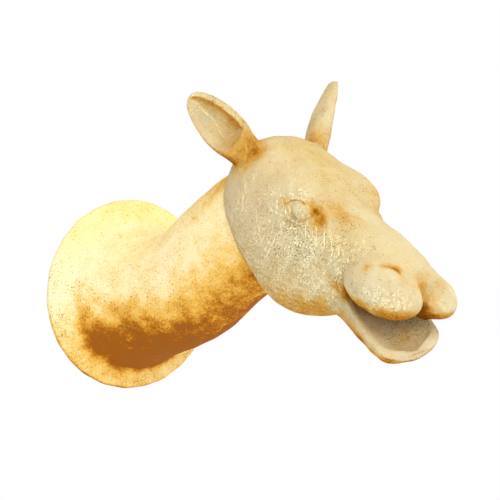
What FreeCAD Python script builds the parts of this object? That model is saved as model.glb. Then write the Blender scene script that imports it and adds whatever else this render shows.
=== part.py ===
import FreeCAD, Part
import math
import os

# A camel's head and neck, cast hollow in fibre-reinforced stone, that hangs on a wall.
# Frame: origin at the centre of the wall plate's back face, which lies on the wall.
# +Y points into the wall, -Y out of it, +Z up, +X to the sculpture's own left.
# The neck and head share one median plane, which stands upright through the origin and is
# turned TURN degrees towards +X. A point on the sculpture is given as (ahead, aside, height):
# ahead along the median plane and away from the wall, aside to the sculpture's left, up.

Vector = FreeCAD.Vector

# ---------------------------------------------------------------- driving dimensions, mm
TURN = 12.0                      # degrees the head looks to its left of straight ahead
WALL = 9.0                       # thickness of the cast shells
FLANGE_R = 130.0                 # round flange against the wall
FLANGE_T = 8.0
PAD_T = 2.0                      # felt pads between the flange and the wall
PAD_R = 10.0
PAD_RING_R = 112.0
RECESS_R = 86.0                  # recess in the back that holds the board
BOARD_T = 12.0
BOARD_BACK = 18.0                # depth of the board's back face from the wall
BOND_GAP = 0.5                   # glue line round the board and the sleeve
SCREW_RING_R = 79.0

HEAD_PITCH = 38.0                # degrees the head's long axis points down
HEAD_ORIGIN = (265.0, 120.0)     # (ahead, height) of the head axis's start

TUBE_R = 17.0                    # armature tube
TUBE_WALL = 3.0
TUBE_PITCH = 23.0
TUBE_LENGTH = 290.0
SLEEVE_R = 52.0                  # locating sleeve between neck and head
SLEEVE_WALL = 6.0
SLEEVE_START, SLEEVE_END = 205.0, 265.0      # along the tube, from the armature plate
BULKHEAD_START, BULKHEAD_T = 226.0, 12.0
PIN_R = 3.0

PLATE_T = 3.0                    # pressed steel of the wall plate and the hanger rail
PLATE_W = 100.0
PLATE_BOTTOM, PLATE_TOP = -32.0, 33.0
LIP_OUT = 9.3                    # how far the wall plate's lip stands off the wall
LIP_H = 12.0
HOLE_R = 3.0
HOLE_DX, HOLE_DZ = 35.0, 20.0
RAIL_W = 76.0
RAIL_LIP_OUT = 6.0
RAIL_TOP = 74.0

RING_POINTS = 16


# ---------------------------------------------------------------- frames and basic shapes
def spot(ahead, aside, height):
    """A point of the sculpture in the row frame."""
    t = math.radians(TURN)
    return Vector(ahead * math.sin(t) + aside * math.cos(t),
                  aside * math.sin(t) - ahead * math.cos(t), height)


def way(ahead, aside, height):
    """A unit direction of the sculpture in the row frame."""
    v = spot(ahead, aside, height)
    v.normalize()
    return v


def head_spot(along, aside, above):
    """A point given along the head's axis, to its left and above the axis."""
    p = math.radians(HEAD_PITCH)
    return spot(HEAD_ORIGIN[0] + along * math.cos(p) + above * math.sin(p), aside,
                HEAD_ORIGIN[1] - along * math.sin(p) + above * math.cos(p))


def axes_at(turn, pitch):
    """The side and up directions of a section that faces this turn and pitch."""
    t, p = math.radians(turn), math.radians(pitch)
    side = Vector(math.cos(t), math.sin(t), 0)
    up = Vector(-math.sin(p) * math.sin(t), math.sin(p) * math.cos(t), math.cos(p))
    return side, up


def signed_power(value, power):
    return math.copysign(abs(value) ** power, value)


def ring(centre, side, up, half_width, above, below, square_above=2.0, square_below=2.0):
    """A closed smooth section: two half ellipses, squarer as their exponents pass 2."""
    points = []
    for i in range(RING_POINTS):
        angle = 2 * math.pi * i / RING_POINTS
        upper = math.sin(angle) > 0
        exponent = 2 / (square_above if upper else square_below)
        across = half_width * signed_power(math.cos(angle), exponent)
        rise = (above if upper else below) * signed_power(math.sin(angle), exponent)
        points.append(centre + side * across + up * rise)
    curve = Part.BSplineCurve()
    curve.interpolate(points, PeriodicFlag=True)
    return Part.Wire([curve.toShape()])


def loft(rings):
    return Part.makeLoft(rings, True, False)


def cylinder(start, direction, radius, length):
    return Part.makeCylinder(radius, length, start, direction)


def ellipsoid(centre, axes, radii):
    """A ball stretched to radii along three square axes."""
    a, b, c = (axes[i] * radii[i] for i in range(3))
    m = FreeCAD.Matrix(a.x, b.x, c.x, centre.x,
                       a.y, b.y, c.y, centre.y,
                       a.z, b.z, c.z, centre.z, 0, 0, 0, 1)
    return Part.makeSphere(1.0).transformGeometry(m)


def half_space(side):
    """The row's half to the sculpture's left (side 1) or right (side -1)."""
    size = 1500.0
    block = Part.makeBox(size, size, size, Vector(0 if side > 0 else -size, -size / 2, -size / 2))
    block.rotate(Vector(0, 0, 0), Vector(0, 0, 1), TURN)
    return block


# ---------------------------------------------------------------- the cast forms
# Neck stations: (ahead, height, turn, pitch, half width, half height).
NECK = [
    (10, 0, 0, 0, 124, 124),
    (17, 0, 1, 0, 110, 110),
    (32, 0, 3, 2, 99, 99),
    (58, 0, 6, 6, 87, 88),
    (92, 4, 10, 16, 78, 81),
    (132, 18, 12, 28, 72, 79),
    (180, 51, 12, 35, 69, 79),
    (232, 84, 12, 32, 67, 79),
    (285, 112, 12, 26, 64, 76),
]
LEDGE_R = 72.0                   # inner radius of the ledge that the board sits on


def neck_outer():
    rings = []
    for ahead, height, turn, pitch, wide, tall in NECK:
        side, up = axes_at(turn, pitch)
        rings.append(ring(spot(ahead, 0, height), side, up, wide, tall, tall))
    body = loft(rings)
    disc = cylinder(Vector(0, -PAD_T, 0), Vector(0, -1, 0), FLANGE_R, FLANGE_T)
    disc = disc.makeFillet(2.5, disc.Edges)
    return body.fuse(disc)


def neck_inner():
    """The hollow: the board's recess, then a bore that follows the outside."""
    recess = cylinder(Vector(0, 0, 0), Vector(0, -1, 0), RECESS_R, BOARD_BACK + BOARD_T)
    rings = []
    for i, (ahead, height, turn, pitch, wide, tall) in enumerate(NECK[2:]):
        side, up = axes_at(turn, pitch)
        start = (spot(BOARD_BACK + BOARD_T - 1, 0, 0), LEDGE_R, LEDGE_R)
        centre, w, h = start if i == 0 else (spot(ahead, 0, height), wide - WALL, tall - WALL)
        if i == 0:
            side, up = axes_at(0, 0)
        rings.append(ring(centre, side, up, w, h, h))
    return recess.fuse(loft(rings))


# Head stations: (along, widest, above, below, half width, squareness above). widest is the
# height over the head's axis at which the section is widest; above and below count from it.
HEAD = [
    (-54, 44, 16, 22, 26, 2.0),
    (-44, 38, 34, 40, 48, 2.2),
    (-26, 30, 59, 56, 66, 2.6),
    (0, 24, 71, 70, 77, 3.0),
    (30, 24, 72, 86, 80, 3.3),
    (62, 26, 70, 98, 80, 3.3),
    (92, 28, 64, 108, 75, 2.8),
    (120, 32, 58, 110, 66, 2.5),
    (150, 36, 54, 98, 56, 2.3),
    (180, 44, 50, 78, 50, 2.3),
    (208, 52, 43, 48, 46, 2.3),
    (234, 56, 37, 34, 44, 2.2),
    (256, 58, 28, 28, 38, 2.1),
    (270, 58, 14, 16, 24, 2.0),
]


def head_loft(inset=0.0):
    """The head's lofted form, or its hollow when drawn in by the wall's thickness."""
    side, up = axes_at(TURN, -HEAD_PITCH)
    first, last = HEAD[0][0], HEAD[-1][0]
    rings = []
    for along, widest, above, below, wide, square in HEAD:
        drawn = along + inset * (1 - 2 * (along - first) / (last - first))
        rings.append(ring(head_spot(drawn, 0, widest), side, up, wide - inset,
                          above - inset, below - inset, square, 2.3))
    return loft(rings)


def head_direction():
    p = math.radians(HEAD_PITCH)
    return math.cos(p), 0, -math.sin(p)


def head_axes():
    """Unit vectors along the head, to its left and above it."""
    side, up = axes_at(TURN, -HEAD_PITCH)
    return way(*head_direction()), side, up


def tilted(axes, about, degrees):
    """The same axes turned about one of them."""
    turned = []
    for a in axes:
        r = FreeCAD.Rotation(axes[about], degrees)
        turned.append(r.multVec(a))
    return turned


LIP_AT, LIP_RADII = (240.0, 36.0, 50.0), (57.0, 26.0, 26.0)
BROW_AT, BROW_RADII = (74.0, 55.0, 79.0), (32.0, 18.0, 16.0)
EYE_AT, EYE_R = (97.0, 61.0, 61.0), 14.0


def head_outer():
    """Skull, cheeks and upper jaw, with the brows, eyes and the two lobes of the upper lip."""
    body = head_loft()
    along, side, up = head_axes()
    for hand in (1, -1):
        x, y, z = LIP_AT
        axes = tilted((along, side, up), 1, -6)
        axes = tilted(axes, 2, -hand * 7)
        body = body.fuse(ellipsoid(head_spot(x, hand * y, z), axes, LIP_RADII))
        x, y, z = BROW_AT
        body = body.fuse(ellipsoid(head_spot(x, hand * y, z), (along, side, up), BROW_RADII))
        x, y, z = EYE_AT
        body = body.fuse(ellipsoid(head_spot(x, hand * y, z), (along, side, up), (EYE_R,) * 3))
    return body


# Lower lip stations: (along, above the axis at the rim, half width, depth below the rim,
# roll in degrees). The lip hangs open and rolls, its left rim higher than its right.
JAW = [
    (168, 10, 34, 44, 0),
    (195, 12, 42, 42, 4),
    (222, 10, 46, 37, 9),
    (250, 8, 48, 32, 13),
    (275, 6, 49, 26, 15),
    (292, 3, 43, 16, 15),
    (303, 0, 26, 7, 14),
]
SCOOP_DEPTH = 15.0               # hollow in the lower lip's upper side
LIP_RIM = 6.0


def lower_lip():
    """The spoon-shaped lower lip: a lofted half-round with a scooped top."""
    outer, scoop = [], []
    first, last = JAW[0][0], JAW[-1][0]
    for along, rim, wide, deep, roll in JAW:
        turn = FreeCAD.Rotation(way(*head_direction()), roll)
        side, up = (turn.multVec(v) for v in axes_at(TURN, -HEAD_PITCH))
        outer.append(ring(head_spot(along, 0, rim), side, up, wide, 4, deep, 2.2, 2.4))
        back = LIP_RIM * (along - first) / (last - first)
        scoop.append(ring(head_spot(along - back, 0, rim) + up * 4, side, up, wide - LIP_RIM, 4,
                          min(SCOOP_DEPTH, deep - LIP_RIM) + 4, 2.2, 2.2))
    return loft(outer).cut(loft(scoop))


# ---------------------------------------------------------------- ears
# Each ear, by hand (1 left, -1 right): its root on the head (along, aside, above) and its
# reach from root to tip (ahead, aside, height). The left one stands a little higher.
EAR_PLACE = {
    1: ((-27.0, 68.0, 75.0), (-28.0, 66.0, 88.0)),
    -1: ((-23.0, 66.0, 63.0), (-30.0, 64.0, 67.0)),
}
EAR_FACES = (0.62, 0.78, 0.0)    # which way the opening looks: ahead, aside, height
# Ear stations: (share of the length, half width, thickness forward, thickness backward).
EAR = [
    (-0.15, 19, 14, 16),
    (0.08, 23, 12, 18),
    (0.32, 27, 8, 18),
    (0.56, 26, 5, 16),
    (0.77, 20, 4, 12),
    (0.93, 12, 3, 8),
    (1.00, 5, 2, 4),
]
EAR_RIM = 5.0


def ear_axes(hand):
    """Root, length, and unit vectors along the ear, out of its opening and across it."""
    (along, aside, above), (ahead, out, height) = EAR_PLACE[hand]
    reach = spot(ahead, hand * out, height)
    length = reach.Length
    reach.normalize()
    faces = way(EAR_FACES[0], hand * EAR_FACES[1], EAR_FACES[2])
    faces = faces - reach * faces.dot(reach)
    faces.normalize()
    return head_spot(along, hand * aside, above), length, reach, faces, reach.cross(faces)


def ear(hand):
    root, length, reach, faces, across = ear_axes(hand)
    outer, scoop = [], []
    for share, wide, forward, back in EAR:
        outer.append(ring(root + reach * (share * length), across, faces, wide, forward, back))
    for share, wide, forward, back in EAR[1:-1]:
        scoop.append(ring(root + reach * (share * length) + faces * forward, across, faces,
                          wide - EAR_RIM, 6, forward + back - EAR_RIM))
    return loft(outer).cut(loft(scoop))


def ear_pin(hand, extra=0.0):
    """A steel dowel from inside the head into the ear's root."""
    root, _, reach, faces, _ = ear_axes(hand)
    start = root - faces * 6 - reach * 26
    return cylinder(start, reach, 3.0 + extra, 46.0)


def jaw_pin(hand, extra=0.0):
    """A steel dowel that runs from inside the head into the lower lip's root."""
    start = head_spot(150, hand * 18, -2)
    end = head_spot(196, hand * 18, -16)
    return cylinder(start, end - start, 2.5 + extra, (end - start).Length)


# ---------------------------------------------------------------- armature and board
def tube_line():
    """Where the armature tube starts, on the plate's front face, and its direction."""
    p = math.radians(TUBE_PITCH)
    return spot(BOARD_BACK + BOARD_T + 5.0, 0, 0), way(math.cos(p), 0, math.sin(p))


def armature_tube():
    start, direction = tube_line()
    start = start - direction * 12
    tube = cylinder(start, direction, TUBE_R, TUBE_LENGTH + 12)
    tube = tube.cut(cylinder(start, direction, TUBE_R - TUBE_WALL, TUBE_LENGTH + 12))
    behind = Part.makeBox(200, 100, 200, Vector(-100, -BOARD_BACK - BOARD_T - 5.0, -100))
    return tube.cut(behind).cut(tube_pin(0.05))


def tube_pin(extra=0.0):
    """Cross pin through the tube that bears on the bulkhead's front face."""
    start, direction = tube_line()
    side = way(0, 1, 0)
    centre = start + direction * (BULKHEAD_START + BULKHEAD_T + PIN_R + 0.1)
    return cylinder(centre - side * 24, side, PIN_R + extra, 48.0)


def at_corners(shape_at, dx, dz):
    """One shape at each corner of a rectangle that is 2 dx by 2 dz, as a compound."""
    return Part.makeCompound([shape_at(x, z) for x in (-dx, dx) for z in (-dz, dz)])


ARMATURE_BOLT = 36.0             # half the spacing of the four armature bolts


def bolt_hole(x, z):
    return cylinder(Vector(x, 0, z), Vector(0, -1, 0), 4.05, 60)


def armature_plate():
    y = -BOARD_BACK - BOARD_T
    plate = Part.makeBox(96, 5, 96, Vector(-48, y - 5, -48))
    upright = [e for e in plate.Edges if abs(e.tangentAt(e.FirstParameter).y) > 0.9]
    plate = plate.makeFillet(8, upright)
    return plate.cut(at_corners(bolt_hole, ARMATURE_BOLT, ARMATURE_BOLT))


def armature_bolt(x, z):
    """Cup-head bolt, its head in the recess and its shank through board and plate."""
    head = Part.makeSphere(12.0, Vector(x, -BOARD_BACK - 8.0, z), Vector(0, 1, 0), 0, 90, 360)
    keep = Part.makeBox(30, 5, 30, Vector(x - 15, -BOARD_BACK, z - 15))
    shank = cylinder(Vector(x, -BOARD_BACK, z), Vector(0, -1, 0), 4.0, 30)
    return head.common(keep).fuse(shank)


def hexagon(x, y, z, across_flats, thick, bore):
    """A nut on a bolt that runs along Y, from y towards the wall's far side."""
    r = across_flats / math.sqrt(3)
    corners = [Vector(x + r * math.cos(math.radians(60 * i)), y,
                      z + r * math.sin(math.radians(60 * i))) for i in range(7)]
    nut = Part.Face(Part.makePolygon(corners)).extrude(Vector(0, -thick, 0))
    return nut.cut(cylinder(Vector(x, y, z), Vector(0, -1, 0), bore, thick))


def armature_nut(x, z):
    return hexagon(x, -BOARD_BACK - BOARD_T - 5.0, z, 13.0, 6.5, 4.05)


def ring_places(count, radius, first):
    for i in range(count):
        angle = math.radians(first + 360.0 * i / count)
        yield radius * math.cos(angle), radius * math.sin(angle)


def board_screw(x, z, extra=0.0):
    """Countersunk screw through the board into the casting's ledge."""
    top = Vector(x, -BOARD_BACK, z)
    out = Vector(0, -1, 0)
    head = Part.makeCone(4.2 + extra, 2.0 + extra, 2.6, top, out)
    return head.fuse(cylinder(top, out, 2.0 + extra, 30))


def board_screws(extra=0.0):
    return Part.makeCompound([board_screw(x, z, extra)
                              for x, z in ring_places(6, SCREW_RING_R, 0)])


RAIL_SCREW_DX, RAIL_SCREW_Z = 27.0, 63.0


def rail_screw(x, z, extra=0.0):
    """Pan-head wood screw that holds the hanger rail on the board."""
    out = Vector(0, -1, 0)
    face = -BOARD_BACK + PLATE_T
    head = cylinder(Vector(x, face + 2.2, z), out, 4.0, 2.2)
    return head.fuse(cylinder(Vector(x, face, z), out, 2.0 + extra, PLATE_T + 11))


def rail_screws(extra=0.0):
    return Part.makeCompound([rail_screw(x, RAIL_SCREW_Z, extra)
                              for x in (-RAIL_SCREW_DX, 0, RAIL_SCREW_DX)])


def back_board():
    board = cylinder(Vector(0, -BOARD_BACK, 0), Vector(0, -1, 0), RECESS_R - BOND_GAP, BOARD_T)
    board = board.cut(at_corners(bolt_hole, ARMATURE_BOLT, ARMATURE_BOLT))
    return board.cut(board_screws(0.05)).cut(rail_screws(0.05))


# ---------------------------------------------------------------- the hook-over hanger
def strip(outline, width):
    """A pressed strip: an outline in the (out of the wall, height) plane, width along X."""
    points = [Vector(-width / 2, -out, height) for out, height in outline]
    face = Part.Face(Part.makePolygon(points + points[:1]))
    return face.extrude(Vector(width, 0, 0))


def wall_plate():
    """Plate on the wall with a lip along its top that the rail hooks over."""
    lip_back = LIP_OUT - PLATE_T
    plate = strip([(0, PLATE_BOTTOM), (PLATE_T, PLATE_BOTTOM), (PLATE_T, PLATE_TOP - PLATE_T),
                   (LIP_OUT, PLATE_TOP - PLATE_T), (LIP_OUT, PLATE_TOP + LIP_H),
                   (lip_back, PLATE_TOP + LIP_H), (lip_back, PLATE_TOP), (0, PLATE_TOP)],
                  PLATE_W)
    for x in (-HOLE_DX, HOLE_DX):
        for z in (-HOLE_DZ, HOLE_DZ):
            plate = plate.cut(cylinder(Vector(x, 1, z), Vector(0, -1, 0), HOLE_R, PLATE_T + 2))
    return plate


def hanger_rail():
    """Rail on the board whose lip drops behind the wall plate's lip."""
    knee = PLATE_TOP + LIP_H + 3.0
    board = BOARD_BACK
    rail = strip([(board, knee), (board, RAIL_TOP), (board - PLATE_T, RAIL_TOP),
                  (board - PLATE_T, knee + PLATE_T), (RAIL_LIP_OUT - PLATE_T, knee + PLATE_T),
                  (RAIL_LIP_OUT - PLATE_T, PLATE_TOP), (RAIL_LIP_OUT, PLATE_TOP),
                  (RAIL_LIP_OUT, knee)], RAIL_W)
    return rail.cut(rail_screws(0.05))


def wall_pads():
    return Part.makeCompound([cylinder(Vector(x, 0, z), Vector(0, -1, 0), PAD_R, PAD_T)
                              for x, z in ring_places(4, PAD_RING_R, 45)])


# ---------------------------------------------------------------- neck and head joint
def joint_sleeve():
    start, direction = tube_line()
    a = start + direction * SLEEVE_START
    length = SLEEVE_END - SLEEVE_START
    return cylinder(a, direction, SLEEVE_R - BOND_GAP, length).cut(
        cylinder(a, direction, SLEEVE_R - SLEEVE_WALL, length))


def head_bulkhead():
    """Plywood disc in the sleeve that holds the armature tube's front end."""
    start, direction = tube_line()
    a = start + direction * BULKHEAD_START
    disc = cylinder(a, direction, SLEEVE_R - SLEEVE_WALL - 0.2, BULKHEAD_T)
    return disc.cut(cylinder(a, direction, TUBE_R + 0.2, BULKHEAD_T))


def build():
    start, direction = tube_line()
    neck, head = neck_outer(), head_outer()
    sleeve_hole = cylinder(start + direction * SLEEVE_START, direction, SLEEVE_R,
                           SLEEVE_END - SLEEVE_START)
    neck_shell = neck.cut(neck_inner()).cut(head).cut(board_screws(0.05))
    head_shell = head.cut(head_loft(WALL)).cut(sleeve_hole)
    jaw = lower_lip().cut(head)
    for hand in (1, -1):
        jaw = jaw.cut(jaw_pin(hand, 0.05))
    made = {
        "lower_jaw": jaw,
        "joint_sleeve": joint_sleeve(),
        "head_bulkhead": head_bulkhead(),
        "armature_tube": armature_tube(),
        "tube_pin": tube_pin(),
        "armature_plate": armature_plate(),
        "armature_bolts": at_corners(armature_bolt, ARMATURE_BOLT, ARMATURE_BOLT),
        "armature_nuts": at_corners(armature_nut, ARMATURE_BOLT, ARMATURE_BOLT),
        "back_board": back_board(),
        "board_screws": board_screws(),
        "hanger_rail": hanger_rail(),
        "hanger_screws": rail_screws(),
        "wall_pads": wall_pads(),
        "wall_plate": wall_plate(),
        "ear_pins": Part.makeCompound([ear_pin(1), ear_pin(-1)]),
        "jaw_pins": Part.makeCompound([jaw_pin(1), jaw_pin(-1)]),
    }
    for hand, name in ((1, "left"), (-1, "right")):
        half = half_space(hand)
        pin_hole = ear_pin(hand, 0.05)
        made["neck_shell_" + name] = neck_shell.common(half)
        made["head_shell_" + name] = head_shell.common(half).cut(pin_hole).cut(jaw_pin(hand, 0.05))
        made["ear_" + name] = ear(hand).cut(head).cut(neck).cut(pin_hole)
    return made


def largest_solids(shape, share=0.02):
    """The shape's solids, leaving out slivers far smaller than the largest."""
    solids = sorted(shape.Solids, key=lambda s: -s.Volume)
    return [s for s in solids if s.Volume > share * solids[0].Volume]


def main():
    os.makedirs("parts", exist_ok=True)
    for name, shape in sorted(build().items()):
        solids = largest_solids(shape)
        whole = solids[0] if len(solids) == 1 else Part.makeCompound(solids)
        whole.exportStep(os.path.join("parts", name + ".step"))
        box = whole.BoundBox
        print(f"{name:18s} {len(solids)} solids of {len(shape.Solids)}  {whole.Volume / 1000:8.1f} cm3  "
              f"valid {whole.isValid()}  x {box.XMin:.0f}..{box.XMax:.0f}  "
              f"y {box.YMin:.0f}..{box.YMax:.0f}  z {box.ZMin:.0f}..{box.ZMax:.0f}")


main()
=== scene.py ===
import math
from concurrent.futures import ThreadPoolExecutor

import bmesh
import bpy
import numpy as np
import openvdb as vdb
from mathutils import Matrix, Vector


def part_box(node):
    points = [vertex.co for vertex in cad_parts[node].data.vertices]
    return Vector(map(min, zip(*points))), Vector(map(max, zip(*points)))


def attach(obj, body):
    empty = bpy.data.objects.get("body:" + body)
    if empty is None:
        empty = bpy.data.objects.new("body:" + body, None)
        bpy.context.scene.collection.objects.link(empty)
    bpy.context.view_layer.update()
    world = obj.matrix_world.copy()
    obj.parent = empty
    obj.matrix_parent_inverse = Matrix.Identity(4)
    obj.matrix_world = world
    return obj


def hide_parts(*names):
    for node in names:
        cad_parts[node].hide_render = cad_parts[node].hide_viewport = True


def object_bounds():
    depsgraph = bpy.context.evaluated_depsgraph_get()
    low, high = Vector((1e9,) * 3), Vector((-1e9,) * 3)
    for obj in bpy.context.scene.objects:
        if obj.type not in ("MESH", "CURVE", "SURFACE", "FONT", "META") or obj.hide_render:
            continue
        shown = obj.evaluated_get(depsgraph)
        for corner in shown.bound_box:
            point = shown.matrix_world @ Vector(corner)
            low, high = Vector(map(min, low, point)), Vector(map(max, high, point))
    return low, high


# A camel's head and neck in antiqued cast stone, hung on a wall. The stone is modelled as one
# smooth field, in millimetres in the part's frame: negative inside, positive outside. The field
# is turned into a mesh, hollowed, and cut into the cast pieces. The hardware keeps its CAD shape.

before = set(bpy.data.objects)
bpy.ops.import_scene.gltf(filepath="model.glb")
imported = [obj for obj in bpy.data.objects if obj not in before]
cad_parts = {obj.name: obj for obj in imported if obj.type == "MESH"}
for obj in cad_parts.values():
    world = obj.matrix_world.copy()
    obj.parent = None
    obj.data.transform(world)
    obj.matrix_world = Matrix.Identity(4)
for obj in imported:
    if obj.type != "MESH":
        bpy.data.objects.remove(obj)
cad_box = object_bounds()

# ---------------------------------------------------------------- frames
MM = 0.001
TURN, PITCH = math.radians(12.0), math.radians(38.0)    # the head turns to its left and looks down
AHEAD = np.array([math.sin(TURN), -math.cos(TURN), 0.0])
ASIDE = np.array([math.cos(TURN), math.sin(TURN), 0.0])
HEIGHT = np.array([0.0, 0.0, 1.0])
HEAD_ORIGIN = 265.0 * AHEAD + 120.0 * HEIGHT
ALONG = math.cos(PITCH) * AHEAD - math.sin(PITCH) * HEIGHT
ABOVE = math.sin(PITCH) * AHEAD + math.cos(PITCH) * HEIGHT
HEAD_AXES = np.stack([ALONG, ASIDE, ABOVE])


def to_head(points):
    """Points of the part's frame as (along, aside, above) on the head."""
    return (points - HEAD_ORIGIN.astype(points.dtype)) @ HEAD_AXES.T.astype(points.dtype)


def from_head(points):
    """The way back from to_head."""
    return np.asarray(points, float) @ HEAD_AXES + HEAD_ORIGIN


# ---------------------------------------------------------------- smooth curves and blends
class Curve:
    """Smooth curves through the rows of a station table, read at any place along it."""

    def __init__(self, rows, count=4000):
        rows = np.asarray(rows, float)
        knots, values = rows[:, 0], rows[:, 1:]
        slopes = np.gradient(values, knots, axis=0)
        at = np.linspace(knots[0], knots[-1], count)
        i = np.clip(np.searchsorted(knots, at) - 1, 0, len(knots) - 2)
        gap = (knots[i + 1] - knots[i])[:, None]
        t = (at - knots[i])[:, None] / gap
        table = ((2 * t ** 3 - 3 * t ** 2 + 1) * values[i] + (3 * t ** 2 - 2 * t ** 3) * values[i + 1]
                 + (t ** 3 - 2 * t ** 2 + t) * gap * slopes[i] + (t ** 3 - t ** 2) * gap * slopes[i + 1])
        self.start, self.step = at[0], at[1] - at[0]
        self.end = at[-1]
        self.table = np.hstack([table, np.gradient(table, self.step, axis=0)]).astype(np.float32)

    def read(self, at):
        """The columns at these places, then their slopes, as a tuple. Past an end it reads the end."""
        x = np.clip((at - self.start) / self.step, 0, len(self.table) - 1.001).astype(np.float32)
        i = x.astype(np.int32)
        w = (x - i)[:, None]
        return tuple((self.table[i] * (1 - w) + self.table[i + 1] * w).T)


def smooth_min(a, b, k):
    """The smaller of two fields, with a round fillet about k wide where they meet."""
    h = np.clip(0.5 + 0.5 * (b - a) / k, 0, 1)
    return b * (1 - h) + a * h - k * h * (1 - h)


def smooth_max(a, b, k):
    """The larger of two fields, with the same fillet."""
    return -smooth_min(-a, -b, k)


CORE = 0.05    # a section's centre line counts as this far out, which keeps its slope finite


def section(across, upward, wide, tall, power, slope=0.0, past=0.0, cap=1.0):
    """Distance to a squared ellipse section that may taper (slope) and end in a round cap."""
    x, y = np.abs(across) / wide, np.abs(upward) / tall
    xn, yn = x ** (power - 1), y ** (power - 1)
    rho = np.maximum((x * xn + y * yn) ** (1 / power), CORE)
    scale = rho ** (1 - power)
    pull = (scale * xn / wide) ** 2 + (scale * yn / tall) ** 2 + (scale * slope) ** 2
    t = past / cap
    full = np.sqrt(rho ** 2 + t ** 2)
    steep = np.sqrt(rho ** 2 * pull + (t / cap) ** 2) / full
    return (full - 1) / steep


def ellipsoid(points, centre, axes, radii):
    """Distance to an ellipsoid with these unit axes, as rows."""
    local = ((points - np.asarray(centre, points.dtype)) @ np.asarray(axes, points.dtype).T
             / np.asarray(radii, points.dtype))
    size = np.sqrt((local ** 2).sum(1)) + 1e-6
    steep = np.sqrt(((local / np.asarray(radii, points.dtype)) ** 2).sum(1)) + 1e-6
    return (size - 1) * size / steep


# ---------------------------------------------------------------- neck and flange
# Neck stations: (ahead, height, turn, pitch, half width, half height).
NECK = np.array([
    (10, 0, 0, 0, 124, 124), (17, 0, 1, 0, 110, 110), (32, 0, 3, 2, 99, 99),
    (58, 0, 6, 6, 87, 88), (92, 4, 10, 16, 78, 81), (132, 18, 12, 28, 72, 79),
    (180, 51, 12, 35, 69, 79), (232, 84, 12, 32, 67, 79), (285, 112, 12, 26, 64, 76),
], float)
neck_places = np.concatenate([[0], np.cumsum(np.hypot(np.diff(NECK[:, 0]), np.diff(NECK[:, 1])))])
NECK_CURVE = Curve(np.column_stack([neck_places, NECK]))
NEWTON_STEPS, TIGHTEST = 4, 0.3    # steps to find a place on the neck, and their least divisor
AT_END = 0.05                      # a place this near an end of the neck is off that end
FLANGE_R, FLANGE_FRONT, FLANGE_BACK, FLANGE_EDGE = 130.0, -10.0, -2.0, 3.0


def neck_form(points, inset=0.0):
    """The neck as a tapering tube of ellipses that follows its bent centre line."""
    x, y, z = points.T
    ahead_x, ahead_y = AHEAD[:2].astype(points.dtype)
    reached = 0.5 * (x * ahead_x + y * ahead_y - y)    # between straight out and the head's way
    place = np.interp(reached, NECK[:, 0], neck_places)
    for step in range(NEWTON_STEPS + 1):
        ahead, height, turn, pitch, wide, tall, _, _, turn_d, pitch_d, wide_d, _ = NECK_CURVE.read(place)
        t, p = np.radians(turn), np.radians(pitch)
        dx, dy, dz = x - ahead * ahead_x, y - ahead * ahead_y, z - height
        across = dx * np.cos(t) + dy * np.sin(t)
        out = dx * np.sin(t) - dy * np.cos(t)
        upward = dz * np.cos(p) - out * np.sin(p)
        past = out * np.cos(p) + dz * np.sin(p)
        if step < NEWTON_STEPS:
            turning = np.radians(pitch_d) * upward + np.radians(turn_d) * np.cos(p) * across
            place = np.clip(place + past / np.maximum(1 - turning, TIGHTEST),
                            NECK_CURVE.start, NECK_CURVE.end)
    skin = section(across, upward, wide, tall, 2.0, wide_d / wide) + inset
    ends = (place < NECK_CURVE.start + AT_END) | (place > NECK_CURVE.end - AT_END)
    return np.where(ends, np.maximum(skin, np.abs(past)), skin)


def flange_form(points):
    """The round flange against the wall, with rounded edges."""
    r = np.hypot(points[:, 0], points[:, 2]) - (FLANGE_R - FLANGE_EDGE)
    middle, half = (FLANGE_FRONT + FLANGE_BACK) / 2, (FLANGE_BACK - FLANGE_FRONT) / 2
    y = np.abs(points[:, 1] - middle) - (half - FLANGE_EDGE)
    return np.hypot(np.maximum(r, 0), np.maximum(y, 0)) + np.minimum(np.maximum(r, y), 0) - FLANGE_EDGE


# ---------------------------------------------------------------- head
# Head stations: (along, widest, above, below, half width, squareness above).
HEAD_CURVE = Curve([
    (-54, 44, 16, 22, 26, 2.0), (-44, 38, 34, 40, 48, 2.2), (-26, 30, 59, 56, 66, 2.6),
    (0, 24, 71, 70, 77, 3.0), (30, 24, 72, 86, 80, 3.3), (62, 26, 70, 98, 80, 3.3),
    (92, 28, 64, 108, 75, 2.8), (120, 32, 58, 110, 66, 2.5), (150, 36, 54, 98, 56, 2.3),
    (180, 44, 50, 78, 50, 2.3), (208, 52, 43, 48, 46, 2.3), (234, 56, 37, 34, 44, 2.2),
    (256, 58, 28, 28, 38, 2.1), (270, 58, 14, 16, 24, 2.0),
])
SQUARE_BELOW = 2.3
NOSE_CAP, NAPE_CAP = (258.0, 14.0), (-44.0, 12.0)    # where each round end starts, and its length


def head_body(q):
    """Skull and muzzle, without brows and lip lobes."""
    s, a, v = q.T
    widest, above, below, wide, square, widest_d, above_d, below_d, wide_d, _ = HEAD_CURVE.read(s)
    b = v - widest
    upper = b > 0
    tall = np.where(upper, above, below)
    power = np.where(upper, square, SQUARE_BELOW).astype(q.dtype)
    x, y = np.abs(a) / wide, np.abs(b) / tall
    taper = (x ** power * wide_d / wide + y ** power * np.where(upper, above_d, below_d) / tall
             + y ** (power - 1) * np.sign(b) * widest_d / tall)
    past = np.maximum(s - NOSE_CAP[0], 0)
    cap = np.where(s > 0, NOSE_CAP[1], NAPE_CAP[1])
    past = np.maximum(past, NAPE_CAP[0] - s)
    return section(a, b, wide, tall, power, taper, past, cap)


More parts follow.
